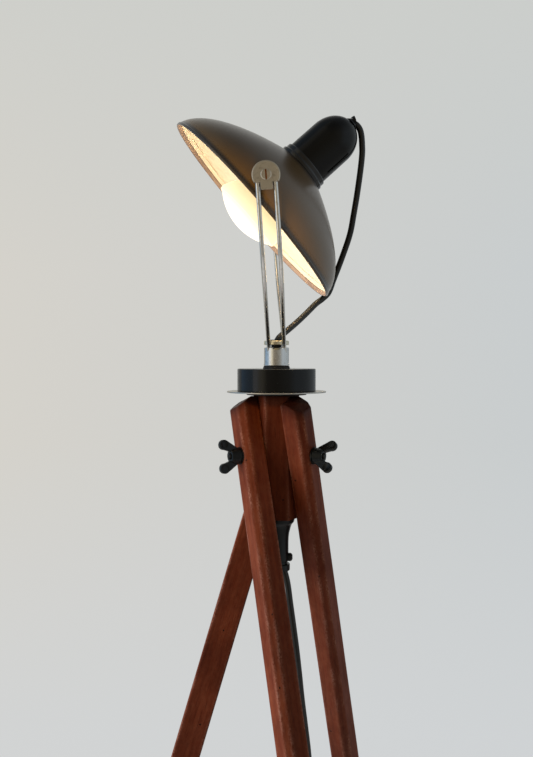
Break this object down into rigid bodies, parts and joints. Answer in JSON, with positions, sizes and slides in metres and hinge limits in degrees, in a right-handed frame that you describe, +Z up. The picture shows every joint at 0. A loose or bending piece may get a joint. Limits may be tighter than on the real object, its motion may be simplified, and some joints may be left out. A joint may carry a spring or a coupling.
{
  "type": "tripod floor lamp",
  "caption": "Floor lamp with a tilting dish shade in a wire fork on a wooden tripod, with wing nuts, a round base, a bell under the block and a mains cord.",
  "frame": {"origin": "on the floor under the lamp's axis, between the three feet", "axes": "+Z up along the lamp's axis, +X to the right and +Y away as seen from the front, the dish facing down towards -X"},
  "size_m": [0.5771, 0.6362, 1.503],
  "materials": {
    "wood": "dark red-brown stain, worn satin",
    "plate_steel": "pale dull steel",
    "base_black": "gloss black enamel over brushed steel",
    "rubber": "matt black rubber",
    "iron": "satin black cast iron",
    "steel": "turned steel",
    "chrome": "bright chrome plate",
    "nickel": "satin nickel plate",
    "brass": "turned brass",
    "shade_paint": "satin olive-bronze enamel, cream inside",
    "rim_paint": "satin black enamel",
    "bakelite": "polished black bakelite",
    "porcelain": "white glazed porcelain",
    "bulb": "frosted and lit",
    "cord": "smooth black flex",
    "plug": "moulded black"
  },
  "bodies": {
    "stand": {"hex_block": "wood", "top_plate": "plate_steel", "plate_pad": "rubber", "round_base": "base_black", "base_washer": "rubber", "tie_tube": "brass", "swivel_nut": "brass", "tube_nut": "steel", "bell": "iron", "bell_ring": "iron", "bell_screw": "iron", "bolt_l": "iron", "bolt_r": "iron", "bolt_b": "iron", "cord_inner": "cord", "cord_lower": "cord", "cord_coil": "cord", "coil_tie": "plug", "cord_tail": "cord", "plug_body": "plug", "plug_pins": "brass", "plug_boot": "plug"},
    "leg_left": {"leg_l": "wood", "foot_l": "rubber", "leg_washer_l": "steel"},
    "leg_right": {"leg_r": "wood", "foot_r": "rubber", "leg_washer_r": "steel"},
    "leg_back": {"leg_b": "wood", "foot_b": "rubber", "leg_washer_b": "steel"},
    "wing_left": {"wing_nut_l": "iron"},
    "wing_right": {"wing_nut_r": "iron"},
    "wing_back": {"wing_nut_b": "iron"},
    "fork": {"fork_collar": "steel", "fork_cap": "brass", "cord_grommet": "rubber", "fork_wire_near": "chrome", "fork_wire_far": "chrome", "pivot_cover_near": "nickel", "pivot_cover_far": "nickel", "pivot_screw_near": "nickel", "pivot_screw_far": "nickel", "pivot_washer_near": "steel", "pivot_washer_far": "steel", "pivot_nut_near": "steel", "pivot_nut_far": "steel"},
    "head": {"shade": "shade_paint", "rim_ring": "rim_paint", "pivot_boss_near": "steel", "pivot_boss_far": "steel", "flange_ring": "bakelite", "housing": "bakelite", "cord_gland": "bakelite", "lamp_holder": "porcelain", "holder_shell": "brass", "bulb_cap": "steel", "bulb_glass": "bulb", "cord_upper": "cord"}
  },
  "joints": [
    {"name": "leg_left_fold", "type": "hinge", "parent": "stand", "child": "leg_left", "pos_m": [0, 0, 1.1653], "axis": [-0.866, -0.5, 0], "range_deg": [-16.5, 5]},
    {"name": "leg_right_fold", "type": "hinge", "parent": "stand", "child": "leg_right", "pos_m": [0, 0, 1.1653], "axis": [0.866, -0.5, 0], "range_deg": [-16.5, 5]},
    {"name": "leg_back_fold", "type": "hinge", "parent": "stand", "child": "leg_back", "pos_m": [0, 0, 1.1653], "axis": [0, 1, 0], "range_deg": [-16.5, 5]},
    {"name": "wing_left_turn", "type": "hinge", "parent": "stand", "child": "wing_left", "pos_m": [0, 0, 1.1653], "axis": [-0.866, -0.5, 0], "continuous": true},
    {"name": "wing_right_turn", "type": "hinge", "parent": "stand", "child": "wing_right", "pos_m": [0, 0, 1.1653], "axis": [0.866, -0.5, 0], "continuous": true},
    {"name": "wing_back_turn", "type": "hinge", "parent": "stand", "child": "wing_back", "pos_m": [0, 0, 1.1653], "axis": [0, 1, 0], "continuous": true},
    {"name": "fork_swivel", "type": "hinge", "parent": "stand", "child": "fork", "pos_m": [0, 0, 1.271], "axis": [0, 0, 1], "range_deg": [-170, 170]},
    {"name": "head_tilt", "type": "hinge", "parent": "fork", "child": "head", "pos_m": [-0.01049, 0, 1.41843], "axis": [0, 1, 0], "range_deg": [-8, 42], "deforming": ["cord_upper"]}
  ]
}
